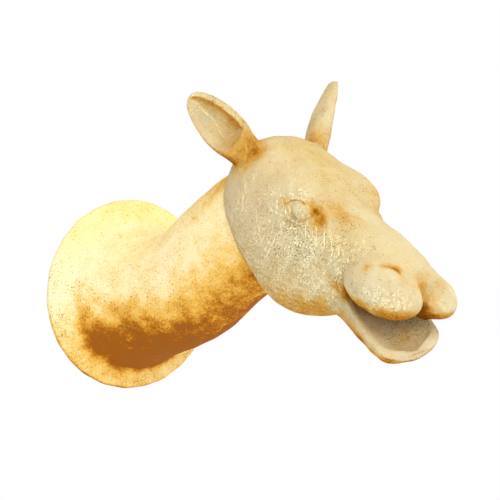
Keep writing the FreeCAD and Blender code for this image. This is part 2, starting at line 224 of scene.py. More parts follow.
# Brows and lip lobes, by hand (1 left, -1 right): centre (along, aside, above) and radii.
BROW = {1: ((74.0, 55.0, 79.0), (32.0, 18.0, 16.0)), -1: ((72.0, -50.0, 75.0), (34.0, 18.0, 15.0))}
BROW_BLEND = 16.0
LOBE = {1: ((245.0, 33.0, 51.0), (52.0, 28.0, 28.0)), -1: ((238.0, -38.0, 50.0), (53.0, 29.0, 31.0))}
LOBE_NOSE_UP, LOBE_TOE_IN = math.radians(17.0), math.radians(7.0)
LOBE_BLEND, CLEFT_BLEND = 9.0, 22.0


def turned_axes(nose_up, toe_in):
    """Unit axes pitched nose up, then swung towards the head's middle."""
    x = np.array([math.cos(nose_up), 0, math.sin(nose_up)])
    z = np.array([-math.sin(nose_up), 0, math.cos(nose_up)])
    y = np.array([0.0, 1.0, 0.0])
    return np.stack([math.cos(toe_in) * x - math.sin(toe_in) * y,
                     math.sin(toe_in) * x + math.cos(toe_in) * y, z])


LOBE_AXES = {hand: turned_axes(LOBE_NOSE_UP, hand * LOBE_TOE_IN) for hand in (1, -1)}


def head_form(q):
    """Skull, brows and the lobes of the upper lip."""
    body = head_body(q)
    for hand in (1, -1):
        centre, radii = BROW[hand]
        body = smooth_min(body, ellipsoid(q, centre, np.eye(3), radii), BROW_BLEND)
    lobes = [ellipsoid(q, LOBE[hand][0], LOBE_AXES[hand], LOBE[hand][1]) for hand in (1, -1)]
    return smooth_min(body, smooth_min(*lobes, CLEFT_BLEND), LOBE_BLEND)


# ---------------------------------------------------------------- lower lip
# Stations: (along, rim above the axis, half width, depth below the rim, roll in degrees).
JAW = np.array([
    (168, 10, 34, 44, 0), (195, 12, 42, 42, 5), (222, 11, 46, 37, 11), (250, 10, 48, 33, 16),
    (275, 9, 49, 28, 18), (292, 5, 43, 17, 18), (303, 0, 26, 7, 16),
], float)
LIP_RIM, LIP_TOP, SCOOP_DEPTH, SCOOP_ABOVE = 10.0, 4.0, 6.0, 6.0
LIP_CAP = (295.0, 10.0)            # where its round end starts, and its length
LIP_SQUARE_ABOVE, LIP_SQUARE_BELOW, SCOOP_SQUARE_BELOW = 2.2, 2.4, 2.2
LIP_EDGE_BLEND = 7.0
scoop_rows = JAW.copy()
scoop_rows[:, 0] -= LIP_RIM * (JAW[:, 0] - JAW[0, 0]) / (JAW[-1, 0] - JAW[0, 0])
scoop_rows[:, 2] -= LIP_RIM
scoop_rows[:, 3] = np.minimum(SCOOP_DEPTH, JAW[:, 3] - LIP_RIM) + LIP_TOP
JAW_CURVE, SCOOP_CURVE = Curve(JAW), Curve(scoop_rows)


def lip_section(q, curve, lift, above, power_below, cap):
    """Distance to a spoon that follows a curve of stations, rolled about the head's axis."""
    s, a, v = q.T
    rim, wide, deep, roll = curve.read(s)[:4]
    r = np.radians(roll)
    b = v - rim
    across = a * np.cos(r) + b * np.sin(r)
    upward = b * np.cos(r) - a * np.sin(r) - lift
    tall = np.where(upward > 0, above, deep)
    power = np.where(upward > 0, LIP_SQUARE_ABOVE, power_below).astype(q.dtype)
    past = np.maximum(np.maximum(s - cap[0], 0), JAW[0, 0] - s)
    return section(across, upward, wide, tall, power, 0.0, past, cap[1])


def lip_solid(q):
    """The lower lip before it is scooped out."""
    return lip_section(q, JAW_CURVE, 0.0, LIP_TOP, LIP_SQUARE_BELOW, LIP_CAP)


def lip_form(q):
    """The lower lip, a scooped spoon."""
    scoop = lip_section(q, SCOOP_CURVE, LIP_TOP, SCOOP_ABOVE, SCOOP_SQUARE_BELOW,
                        (LIP_CAP[0] - LIP_RIM, LIP_CAP[1]))
    return smooth_max(lip_solid(q), -scoop, LIP_EDGE_BLEND)


# ---------------------------------------------------------------- ears
# Each ear, by hand (1 left, -1 right): root (along, aside, above), reach (ahead, aside, height).
EAR_PLACE = {
    1: ((-27.0, 68.0, 75.0), (-28.0, 66.0, 88.0)),
    -1: ((-23.0, 66.0, 63.0), (-30.0, 64.0, 67.0)),
}
EAR_FACES = {1: (0.30, 0.95), -1: (0.62, 0.78)}    # the way each opening faces: (ahead, aside)
# Ear stations: (share of the length, half width, thickness forward, thickness backward).
EAR_CURVE = Curve([
    (-0.15, 19, 14, 16), (0.08, 23, 12, 18), (0.32, 27, 8, 18), (0.56, 26, 5, 16),
    (0.77, 21, 4, 12), (0.92, 15, 3, 9), (1.00, 9, 2, 6),
])
EAR_RIM_OUT, EAR_RIM_IN, EAR_FLOOR = 3.5, 9.0, 5.0
# As shares of the ear's length: its two round ends, and its hollow's.
EAR_START, EAR_END, EAR_HOLLOW_START, EAR_HOLLOW_END = -0.15, 0.975, 0.27, 0.93
EAR_CAP, EAR_HOLLOW_CAP, EAR_HOLLOW_ABOVE, EAR_LEAST, EAR_EDGE_BLEND = 5.0, 7.0, 7.0, 1.5, 3.0


def unit(v):
    """The vector at length 1."""
    return v / np.linalg.norm(v)


def ear_frame(hand):
    """Root, length and unit vectors along the ear, to its inner edge and out of its opening."""
    (along, aside, above), (ahead, out, height) = EAR_PLACE[hand]
    root = from_head([along, hand * aside, above])
    reach = ahead * AHEAD + hand * out * ASIDE + height * HEIGHT
    length = np.linalg.norm(reach)
    reach = reach / length
    faces = EAR_FACES[hand][0] * AHEAD + hand * EAR_FACES[hand][1] * ASIDE
    faces = unit(faces - reach * (faces @ reach))
    return root, length, np.stack([reach, -hand * np.cross(reach, faces), faces])


EAR_FRAMES = {hand: ear_frame(hand) for hand in (1, -1)}


def on_ear(points, hand):
    """Points as (along the ear, to its inner edge, out of its opening), and the ear's length."""
    root, length, axes = EAR_FRAMES[hand]
    local = (points - root.astype(points.dtype)) @ axes.T.astype(points.dtype)
    return local.T, length


def past_ends(g, length, start, end):
    """How far points lie past either end of a stretch of the ear."""
    return np.maximum(g - end * length, 0) + np.maximum(start * length - g, 0)


def ear_form(points, hand):
    """One ear: a leaf of ellipses with a hollow in its face."""
    (g, c, d), length = on_ear(points, hand)
    wide, forward, back = EAR_CURVE.read(g / length)[:3]
    tall = np.where(d > 0, forward, back)
    outer = section(c, d, wide, tall, 2.0, 0.0, past_ends(g, length, EAR_START, EAR_END), EAR_CAP)
    inner_wide = np.maximum(wide - (EAR_RIM_OUT + EAR_RIM_IN) / 2, EAR_LEAST)
    shift = (EAR_RIM_OUT - EAR_RIM_IN) / 2
    depth = d - forward
    deep = np.where(depth > 0, EAR_HOLLOW_ABOVE, np.maximum(forward + back - EAR_FLOOR, EAR_LEAST))
    past = past_ends(g, length, EAR_HOLLOW_START, EAR_HOLLOW_END)
    scoop = section(c - shift, depth, inner_wide, deep, 2.0, 0.0, past, EAR_HOLLOW_CAP)
    return smooth_max(outer, -scoop, EAR_EDGE_BLEND)


# ---------------------------------------------------------------- strokes on the surface
FARTHEST_ASIDE, HALVINGS = 110.0, 24
STROKE_REACH = 3.0                 # a stroke is left out past this many of its widths


def skin_point(along, above):
    """The point of the head's left side at this place along and above its axis."""
    low, high = 0.0, FARTHEST_ASIDE
    for _ in range(HALVINGS):
        middle = (low + high) / 2
        inside = head_form(np.array([[along, middle, above]], np.float32))[0] < 0
        low, high = (middle, high) if inside else (low, middle)
    return along, low, above


class Stroke:
    """A soft groove (depth above 0) or ridge (below 0) along a line of points."""

    def __init__(self, points, depth, width, sharp=2.0):
        self.line = np.asarray(points, np.float32)
        self.depth = np.broadcast_to(np.asarray(depth, np.float32), len(self.line))
        self.width, self.sharp = width, sharp
        self.low = self.line.min(0) - STROKE_REACH * width
        self.high = self.line.max(0) + STROKE_REACH * width

    def __call__(self, q, f):
        near = np.nonzero(((q > self.low) & (q < self.high)).all(1))[0]
        if not len(near):
            return f
        p = q[near]
        best = np.full(len(p), 1e9, q.dtype)
        depth = np.zeros(len(p), q.dtype)
        if len(self.line) == 1:
            best, depth = ((p - self.line[0]) ** 2).sum(1), np.full(len(p), self.depth[0])
        for i in range(len(self.line) - 1):
            a, ab = self.line[i], self.line[i + 1] - self.line[i]
            t = np.clip((p - a) @ ab / (ab @ ab), 0, 1)
            d = ((p - a - t[:, None] * ab) ** 2).sum(1)
            closer = d < best
            best = np.where(closer, d, best)
            depth = np.where(closer, self.depth[i] * (1 - t) + self.depth[i + 1] * t, depth)
        f = f.copy()
        f[near] += depth * np.exp(-(np.sqrt(best) / self.width) ** self.sharp)
        return f


def skin_stroke(places, depth, width):
    """A stroke through (along, above) places on the head's side."""
    return Stroke([skin_point(along, above) for along, above in places], depth, width)


EYE_AT = np.array([96.0, 61.5, 61.5])
EYE_RADII = (16.5, 13.5, 14.5)
EYE_OUT = unit(np.array([0.06, 0.94, 0.30]))
EYE_UP = unit(np.array([0.0, 0.0, 1.0]) - EYE_OUT * EYE_OUT[2])
EYE_ALONG = np.cross(EYE_OUT, EYE_UP)
EYE_AXES = np.stack([EYE_ALONG, EYE_OUT, EYE_UP])
EYE_BLEND, LIP_BLEND, EAR_BLEND, FLANGE_BLEND, NECK_BLEND = 1.5, 9.0, 9.0, 8.0, 6.0


def field(points):
    """The whole sculpture."""
    q = to_head(points)
    head = head_form(q)
    folded = q.copy()                # strokes and eyes are the same on both sides
    folded[:, 1] = np.abs(q[:, 1])
    for stroke in STROKES:
        head = stroke(folded, head)
    eye = ellipsoid(folded, EYE_AT, EYE_AXES, EYE_RADII)
    head = smooth_min(head, eye, EYE_BLEND)
    for stroke in LID_STROKES:
        head = stroke(folded, head)
    head = smooth_min(head, lip_form(q), LIP_BLEND)
    for hand in (1, -1):
        head = smooth_min(head, ear_form(points, hand), EAR_BLEND)
    neck = smooth_min(neck_form(points), flange_form(points), FLANGE_BLEND)
    return smooth_min(head, neck, NECK_BLEND) + uneven(points)


def uneven(points):
    """The slight waviness of a surface modelled by hand."""
    x, y, z = (points / 1000.0).T
    return (0.35 * np.sin(151 * x + 60 * z + 1.0) * np.sin(118 * y - 40 * x + 2.0)
            + 0.3 * np.sin(170 * z + 90 * y + 0.5) * np.sin(133 * x - 70 * y + 0.3)
            + 0.05 * np.sin(410 * x + 150 * y) * np.sin(380 * z - 210 * y + 1.7))


# Each stroke: its line, its depth at each point (or one depth), its width and its sharpness.
STROKES = [
    # eye socket, hollow in front of the eye, upper edge of the brow
    Stroke([(96, 70, 61.5)], 2.6, 12.5, 4.0),
    skin_stroke([(112, 70), (120, 68), (128, 63)], [1.5, 2.5, 0.8], 5.0),
    skin_stroke([(60, 84), (84, 86), (108, 82)], [-1, -2, -1], 9.0),
    # cheek ridge from the brow down to the mouth, and the dip above it
    skin_stroke([(104, 88), (125, 77), (142, 54), (163, 38), (185, 24)], [-1, -2, -2, -2, -1], 8.0),
    skin_stroke([(130, 86), (150, 72), (172, 60)], [1.0, 1.8, 1.0], 12.0),
    # fold above the lip's lobe: behind, at and in front of the nostril
    skin_stroke([(208, 54), (214, 65), (222, 73), (231, 78)], [0.3, 1, 1.4, 1.6], 4.0),
    skin_stroke([(231, 78), (236, 79), (242, 80), (248, 80)], [1.0, 2.0, 1.8, 0.8], 2.8),
    skin_stroke([(246, 80), (256, 79), (264, 75)], [1.2, 1.2, 0.6], 4.0),
    # a small casting flaw on the muzzle
    skin_stroke([(194, 80)], 2.5, 2.2),
    # fold at the corner of the mouth, and the ridge above it
    Stroke([(176, 45, 14), (186, 46, 8), (196, 45, 4), (205, 44, -1), (213, 43, -8), (219, 40, -16),
            (223, 32, -26)], [0.5, 2.5, 3, 3, 3, 2.5, 1], 4.0),
    Stroke([(180, 49, 18), (192, 49, 12), (203, 47, 7), (213, 46, 1), (222, 45, -6)],
           [-0.5, -1.5, -2, -1.5, 0], 4.5),
]
UPPER_LID = [(79, 60), (83, 68), (90, 73), (97, 75), (104, 74), (111, 68)]
LOWER_LID = [(79, 60), (82, 53), (89, 48), (96, 48), (104, 52), (110, 59)]
# The lids, the grooves between lids and eye, and the fold under the lower lid.
LID_STROKES = [
    skin_stroke(UPPER_LID, [-0.5, -1.8, -2.2, -2.2, -1.8, -0.8], 3.0),
    skin_stroke(LOWER_LID, [-0.5, -1.2, -1.4, -1.4, -1.2, -0.8], 3.0),
    skin_stroke([(80, 58), (84, 66), (91, 71), (98, 72.5), (106, 70)], [1, 1.6, 1.6, 1.6, 1], 1.6),
    skin_stroke([(81, 58), (85, 53), (91, 50.5), (99, 51), (106, 56)], [0.8, 1.2, 1.4, 1.4, 1], 1.5),
    skin_stroke([(84, 41), (94, 40), (106, 44), (117, 53)], [0.5, 1, 1, 0.5], 3.0),
]

# ---------------------------------------------------------------- from field to mesh
WORKERS, CHUNK, BLOCK = 4, 20000, 8
STEEPEST = 1.4                     # the steepest slope that the field is taken to have
OUTSIDE = 3.0                      # the field's value where the grid says nothing
LEAST_SLOPE = 0.05                 # the least slope, squared, that a move divides by
LONGEST_MOVE = 0.7                 # the longest move, as a share of the grid's step


def in_chunks(function, points):
    """The function's values at many points, worked out by several threads."""
    parts = [points[i:i + CHUNK] for i in range(0, len(points), CHUNK)]
    with ThreadPoolExecutor(WORKERS) as pool:
        return np.concatenate(list(pool.map(function, parts)))


def cells(counts):
    """Every index of a grid with these counts, one to a row."""
    return np.stack(np.meshgrid(*[np.arange(n) for n in counts], indexing="ij"), -1).reshape(-1, 3)


def sample_field(function, low, high, step, block=BLOCK):
    """The field on a regular grid. A block far from the surface has one clipped value."""
    counts = np.ceil((high - low) / (step * block)).astype(int)
    index = cells(counts)
    corners = low + index * step * block
    far = STEEPEST * step * (block + 1) * math.sqrt(3) / 2
    middles = (corners + step * (block - 1) / 2).astype(np.float32)
    coarse = in_chunks(function, middles)
    grid = np.empty(tuple(counts * block), np.float32)
    view = grid.reshape(counts[0], block, counts[1], block, counts[2], block).transpose(0, 2, 4, 1, 3, 5)
    view[...] = np.clip(coarse, -far, far).reshape(*counts, 1, 1, 1)
    near = np.nonzero(np.abs(coarse) < far)[0]
    offsets = (cells([block] * 3) * step).astype(np.float32)
    points = (corners[near].astype(np.float32)[:, None, :] + offsets[None]).reshape(-1, 3)
    values = in_chunks(function, points).reshape(-1, block, block, block)
    i, j, k = index[near].T
    view[i, j, k] = values
    grid[[0, -1]] = far
    grid[:, [0, -1]] = far
    grid[:, :, [0, -1]] = far
    return grid


def surface(function, low, high, step, settle=2):
    """Points (mm) and quads of the function's zero surface inside a box."""
    low, high = np.asarray(low, float), np.asarray(high, float)
    volume = vdb.FloatGrid(background=OUTSIDE)
    volume.copyFromArray(sample_field(function, low, high, step))
    points, quads = volume.convertToQuads(isovalue=0.0)
    points = low + points * step
    for _ in range(settle):
        points = onto_surface(function, points, step)
    return points, quads[:, ::-1]


TETRAHEDRON = np.array([[1, 1, 1], [1, -1, -1], [-1, 1, -1], [-1, -1, 1]], float)


def value_and_slope(function, points, h=0.35):
    """The function's value and slope from four points at the corners of a small tetrahedron."""
    values = [in_chunks(function, points + h * corner) for corner in TETRAHEDRON]
    slope = sum(v[:, None] * corner for v, corner in zip(values, TETRAHEDRON)) / (4 * h)
    return sum(values) / 4, slope


def onto_surface(function, points, step):
    """Points moved down the slope to the surface, by at most part of a grid step."""
    value, slope = value_and_slope(function, points)
    move = -(value / np.maximum((slope ** 2).sum(1), LEAST_SLOPE))[:, None] * slope
    size = np.linalg.norm(move, axis=1, keepdims=True)
    return points + move * np.minimum(1, LONGEST_MOVE * step / np.maximum(size, 1e-6))


def mesh_object(name, points, faces):
    """An object of points (mm) and faces that all have as many corners."""
    mesh = bpy.data.meshes.new(name)
    mesh.vertices.add(len(points))
    mesh.vertices.foreach_set("co", (points * MM).astype(np.float32).ravel())
    mesh.loops.add(faces.size)
    mesh.loops.foreach_set("vertex_index", faces.astype(np.int32).ravel())
    mesh.polygons.add(len(faces))
    mesh.polygons.foreach_set("loop_start", np.arange(0, faces.size, faces.shape[1], dtype=np.int32))
    mesh.update(calc_edges=True)
    mesh.validate()
    obj = bpy.data.objects.new(name, mesh)
    bpy.context.scene.collection.objects.link(obj)
    return obj


def read_array(items, name, width):
    """One property of many mesh items, one item to a row."""
    values = np.zeros(len(items) * width, np.float32)
    items.foreach_get(name, values)
    return values.reshape(-1, width)


# ---------------------------------------------------------------- the hollow
WALL = 9.0
BOARD_GAP = 0.5                    # between the board's edge and its recess
BOARD_FRONT = float(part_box("back_board")[0].y) / MM
RECESS_R = float(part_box("back_board")[1].x) / MM + BOARD_GAP
RECESS_BACK = 6.0                  # behind the flange, so that the cut goes right through it
LEDGE_R, WIDENING = 72.0, 0.5      # the ledge's inner radius, and how fast the hollow widens past it
OVERCUT = 1.0                      # how far the hollow runs on into the recess
# The bore for the sleeve that joins head and neck: its radius, two ends and slope.
SLEEVE_R, SLEEVE_START, SLEEVE_END, SLEEVE_RISE = 52.0, 205.0, 265.0, math.radians(23.0)
SLEEVE_ROOT = 35.0 * AHEAD
SLEEVE_WAY = math.cos(SLEEVE_RISE) * AHEAD + math.sin(SLEEVE_RISE) * HEIGHT


def hollow_form(points):
    """The space inside the castings, from the board's ledge to the muzzle."""
    head = head_body(to_head(points))
    neck = np.maximum(neck_form(points, WALL), -head)
    x, y, z = points.T
    ledge = np.hypot(x, z) - LEDGE_R - WIDENING * (BOARD_FRONT - y)
    neck = np.maximum(np.maximum(neck, ledge), y - BOARD_FRONT - OVERCUT)
    from_root = points - SLEEVE_ROOT.astype(points.dtype)
    far = from_root @ SLEEVE_WAY.astype(points.dtype)
    radius = np.sqrt(np.maximum((from_root ** 2).sum(1) - far ** 2, 0))
    sleeve = np.maximum(radius - SLEEVE_R, np.abs(far - (SLEEVE_START + SLEEVE_END) / 2)
                        - (SLEEVE_END - SLEEVE_START) / 2)
    return np.minimum(np.minimum(neck, head + WALL), sleeve)


def disc_cutter(name, radius, front, back, segments=160):
    """A cylinder along Y between two depths, to cut with."""
    mesh = bpy.data.meshes.new(name)
    shape = bmesh.new()
    bmesh.ops.create_cone(shape, cap_ends=True, segments=segments, radius1=radius * MM,
                          radius2=radius * MM, depth=abs(back - front) * MM)
    for v in shape.verts:
        v.co = Vector((v.co.x, v.co.z + (front + back) / 2 * MM, v.co.y))
    bmesh.ops.recalc_face_normals(shape, faces=shape.faces)
    shape.to_mesh(mesh)
    shape.free()
    obj = bpy.data.objects.new(name, mesh)
    bpy.context.scene.collection.objects.link(obj)
    return obj


def cut(obj, cutter, operation, name):
    """A new object: obj cut by, or kept inside, the cutter."""
    modifier = obj.modifiers.new("cut", "BOOLEAN")
    modifier.solver, modifier.operation, modifier.object = "MANIFOLD", operation, cutter
    graph = bpy.context.evaluated_depsgraph_get()
    mesh = bpy.data.meshes.new_from_object(obj.evaluated_get(graph))
    obj.modifiers.clear()
    mesh.name = name
    piece = bpy.data.objects.new(name, mesh)
    bpy.context.scene.collection.objects.link(piece)
    return piece


def remove(*objects):
    """Deletes objects with their meshes."""
    for obj in objects:
        mesh = obj.data
        bpy.data.objects.remove(obj)
        bpy.data.meshes.remove(mesh)


# ---------------------------------------------------------------- the castings
VOXEL, CUTTER_VOXEL, HOLLOW_VOXEL = 1.6, 3.0, 4.0
REACH = 12.0                       # how far a cutter stands out from its piece's surface
MARGIN = 12.0                      # how far the sampled box stands out from what it holds
EAR_CORE_R, EAR_ROOT = 14.0, -0.4  # the plug that ties an ear in, and where it ends (share of length)
low = np.array(cad_box[0], float) / MM - MARGIN
high = np.array(cad_box[1], float) / MM + MARGIN


def nearer(mine, others):
    """The space that is nearer to one form than to the others, and within reach of it."""
    return np.maximum(mine - others, mine - REACH)


def ear_share(points, hand):
    """The space that belongs to one ear."""
    (g, c, d), length = on_ear(points, hand)
    solid = np.minimum(ear_form(points, hand), np.hypot(c, d) - EAR_CORE_R)
    others = np.minimum(head_form(to_head(points)), neck_form(points))
    return np.maximum(nearer(solid, others), EAR_ROOT * length - g)


def lip_share(points):
    """The space that belongs to the lower lip."""
    q = to_head(points)
    return nearer(lip_solid(q), head_form(q))


def head_share(points):
    """The space that belongs to the head, once the ears and the lower lip are off."""
    neck = np.minimum(neck_form(points), flange_form(points))
    return nearer(head_form(to_head(points)), neck)


def make_castings():
    """The whole sculpture, hollowed, then shared out between its cast pieces."""
    whole = mesh_object("whole", *surface(field, low, high, VOXEL))
    hollow = mesh_object("hollow", *surface(hollow_form, low, high, HOLLOW_VOXEL, settle=1))
    recess = disc_cutter("recess", RECESS_R, BOARD_FRONT, RECESS_BACK)
    drilled = cut(whole, hollow, "DIFFERENCE", "drilled")
    rest = cut(drilled, recess, "DIFFERENCE", "rest")
    remove(whole, hollow, recess, drilled)
    pieces = {}
    shares = {
        "cast_ear_left": lambda p: ear_share(p, 1),
        "cast_ear_right": lambda p: ear_share(p, -1),
        "cast_lower_lip": lip_share,
        "cast_head": head_share,
    }
    for name, share in shares.items():
        points, faces = surface(share, low - MARGIN, high + MARGIN, CUTTER_VOXEL, settle=1)
        cutter = mesh_object("cutter", points, faces)
        pieces[name] = cut(rest, cutter, "INTERSECT", name)
        left = cut(rest, cutter, "DIFFERENCE", "cast_neck")
        remove(cutter, rest)
        rest = left
    pieces["cast_neck"] = rest
    return pieces


# ---------------------------------------------------------------- age, weather and painted shade on the stone
def rise(value, start, end):
    """0 before start, 1 after end, smooth between."""
    t = np.clip((value - start) / (end - start), 0, 1)
    return t * t * (3 - 2 * t)


def patches(points, spots):
    """The strongest of several soft round patches: (centre, radius, strength)."""
    total = np.zeros(len(points))
    for centre, radius, strength in spots:
        d = np.linalg.norm(points - np.array(centre, float), axis=1) / radius
        total = np.maximum(total, strength * np.exp(-d ** 2))
    return total


def both(spots):
    """The same patches on the left and the right of the head."""
    return [((along, side * aside, above), radius, strength)
            for (along, aside, above), radius, strength in spots for side in (1, -1)]


# Patches in head coordinates: (centre, radius, strength).
STAIN_SPOTS = both([
    # corners of the eye and the hollow in front of it, front of the brow, nostril
    ((112, 58, 70), 10, 0.7), ((122, 54, 66), 13, 0.75), ((104, 64, 75), 8, 0.5),
    ((76, 74, 58), 7, 0.55), ((125, 40, 82), 22, 0.4), ((238, 36, 80), 6, 0.7),
]) + [
    # ear roots and the left brow
    ((-24, 66, 76), 24, 0.6), ((-12, 62, 84), 16, 0.5), ((-22, -66, 66), 24, 0.75),
    ((-8, -66, 74), 16, 0.7), ((100, 66, 82), 20, 0.4),
    # cleft of the upper lip
    ((262, -10, 76), 12, 0.45), ((276, -8, 66), 13, 0.6), ((286, -4, 52), 14, 0.7),
    ((284, 6, 38), 14, 0.7),
    # fold above the near lobe, corners of the mouth, lower lip
    ((214, -56, 66), 8, 0.4), ((226, -46, 76), 7, 0.5),
    ((200, -40, 14), 12, 0.8), ((200, 40, 22), 12, 0.8), ((215, -30, 8), 16, 0.5),
    ((186, -46, 6), 12, 0.45), ((210, -42, -12), 12, 0.45), ((270, 10, -18), 30, 0.5),
    ((240, -30, -22), 26, 0.5),
]
YELLOW_SPOTS = [((20, 0, 95), 62, 0.9), ((80, -20, 95), 48, 0.75), ((110, 20, 92), 40, 0.6),
                ((150, -30, 75), 34, 0.5), ((-30, -70, 80), 40, 0.4)]
BLUSH_SPOTS = both([((20, 78, 20), 58, 1.0), ((60, 76, -20), 40, 0.8)]) + [((215, -50, 45), 26, 0.5)]
GRIME_SPOTS = both([((110, 66, 25), 44, 0.9), ((150, 50, 55), 34, 0.8)]) + [
    ((60, -80, 30), 30, 0.5), ((180, -45, 40), 30, 0.7), ((245, -62, 48), 20, 0.5),
    ((210, 0, -4), 40, 0.8), ((250, 0, 0), 40, 0.7), ((80, 0, 96), 60, 0.35)]
NEAR, WIDE = 5.0, 14.0             # how far out from the stone its hollows are felt for
EAR_SKIN, LIP_SKIN = 3.0, 6.0      # how near to an ear or the lower lip counts as on it
SEAM = 12.0                        # half the stretch over which neck turns into head
BAND_HEIGHT, BAND_HALF = 45.0, 60.0    # the pinker band along the neck's side


def weather(points, normals):
    """How stained, yellow, pink and grimy the stone is at each point, from 0 up. Stain and grime also
    carry painted shade: in folds and the ears' hollows, low on the neck, and, for stain, on faces that
    turn down and in the mouth's roof.
    """
    q = to_head(points)
    # Painted shade: near and wide tell how closely the stone closes round each point, so crease and
    # inside_ear darken folds and the ears' hollows as shade.
    near = field(points + NEAR * normals) / NEAR
    wide = field(points + WIDE * normals) / WIDE
    crease = np.clip(1.15 - near, 0, 1) * 0.9 + np.clip(1.05 - wide, 0, 1) * 0.55
    ears = np.minimum(ear_form(points, 1), ear_form(points, -1)) < EAR_SKIN
    inside_ear = ears * np.clip(1.1 - near, 0, 1)
    inside_lip = np.clip(1 - lip_form(q) / LIP_SKIN, 0, 1)
    on_head = rise(neck_form(points) - head_form(q), -SEAM, SEAM)
    on_neck = 1 - on_head
    height, down = points[:, 2], -normals[:, 2]
    flange = rise(points[:, 1], -34, -14)

    # The wash is on the neck's underside and top, under the jaw, in the mouth's roof and in folds. With
    # it goes painted shade: darker on faces that turn down, lower on the neck, in the mouth's roof under
    # the upper lip, and in folds.
    neck = (0.62 * rise(down, -0.15, 0.95) + 0.55 * rise(-height, -30, 95) + 0.24 * rise(height, 95, 150)
            + 0.12)
    neck = neck * (1 - 0.35 * flange) - 0.12 * flange
    jaw = 0.42 * rise(down, 0.25, 0.9) + 0.02
    # painted shadow on the mouth's roof, under the upper lip
    roof = rise(down, 0.1, 0.7) * rise(q[:, 0], 185, 205) * rise(-q[:, 2], -60, -25)
    stain_and_shade = on_neck * neck + on_head * jaw
    stain_and_shade = stain_and_shade + 0.8 * patches(q, STAIN_SPOTS) + 0.3 * roof * on_head
    # painted shade in folds and in the ears' hollows, with less of it on the lower lip's inside
    stain_and_shade = stain_and_shade + 0.32 * crease * (1 - 0.5 * ears) * (1 - 0.8 * inside_lip) + 0.3 * inside_ear

    yellow = (patches(q, YELLOW_SPOTS) + on_neck * (0.3 + 0.3 * rise(normals[:, 2], 0.2, 0.9))
              + 0.6 * flange * rise(height, 30, 120))
    band = rise(-np.abs(height - BAND_HEIGHT), -BAND_HALF, 0)
    # Grime, with painted shade: more dark specks in folds, in the ears' hollows and low on the neck.
    grime_and_shade = (patches(q, GRIME_SPOTS) + on_neck * (0.35 + 0.4 * rise(-height, -60, 40))
             + 0.5 * crease + 0.9 * inside_ear)
    return {
        "stain_and_shade": stain_and_shade,
        "yellow": yellow,
        "blush": np.maximum(patches(q, BLUSH_SPOTS), 0.8 * on_neck * band),
        "grime_and_shade": grime_and_shade,
    }


# Normals are taken from the field only on the outer skin: this near to it, and facing its way.
SKIN_DEPTH, SKIN_FACING = 0.5, 0.75
NORMAL_STEP, SHARP_ANGLE, MOST_WEATHER = 0.6, math.radians(35), 1.5


def finish_stone(obj):
    """Smooth shading from the field itself, and the weather and painted shade on every vertex."""
    mesh = obj.data
    points = read_array(mesh.vertices, "co", 3).astype(float) / MM
    value, slope = value_and_slope(field, points, NORMAL_STEP)
    normals = slope / np.maximum(np.linalg.norm(slope, axis=1, keepdims=True), 1e-6)
    mesh.shade_smooth()
    mesh.set_sharp_from_angle(angle=SHARP_ANGLE)
    corner = np.zeros(len(mesh.loops), np.int32)
    mesh.loops.foreach_get("vertex_index", corner)
    totals = np.zeros(len(mesh.polygons), np.int32)
    mesh.polygons.foreach_get("loop_total", totals)
    flat = np.repeat(read_array(mesh.polygons, "normal", 3), totals, axis=0)
    shaded = read_array(mesh.corner_normals, "vector", 3)
    from_field = normals[corner]
    skin = (np.abs(value[corner]) < SKIN_DEPTH) & ((from_field * flat).sum(1) > SKIN_FACING)
    shaded = np.where(skin[:, None], from_field, shaded)
    mesh.normals_split_custom_set(shaded.tolist())
    for name, amount in weather(points, normals).items():
        layer = mesh.attributes.new(name, "FLOAT", "POINT")
        layer.data.foreach_set("value", np.clip(amount, 0, MOST_WEATHER).astype(np.float32))


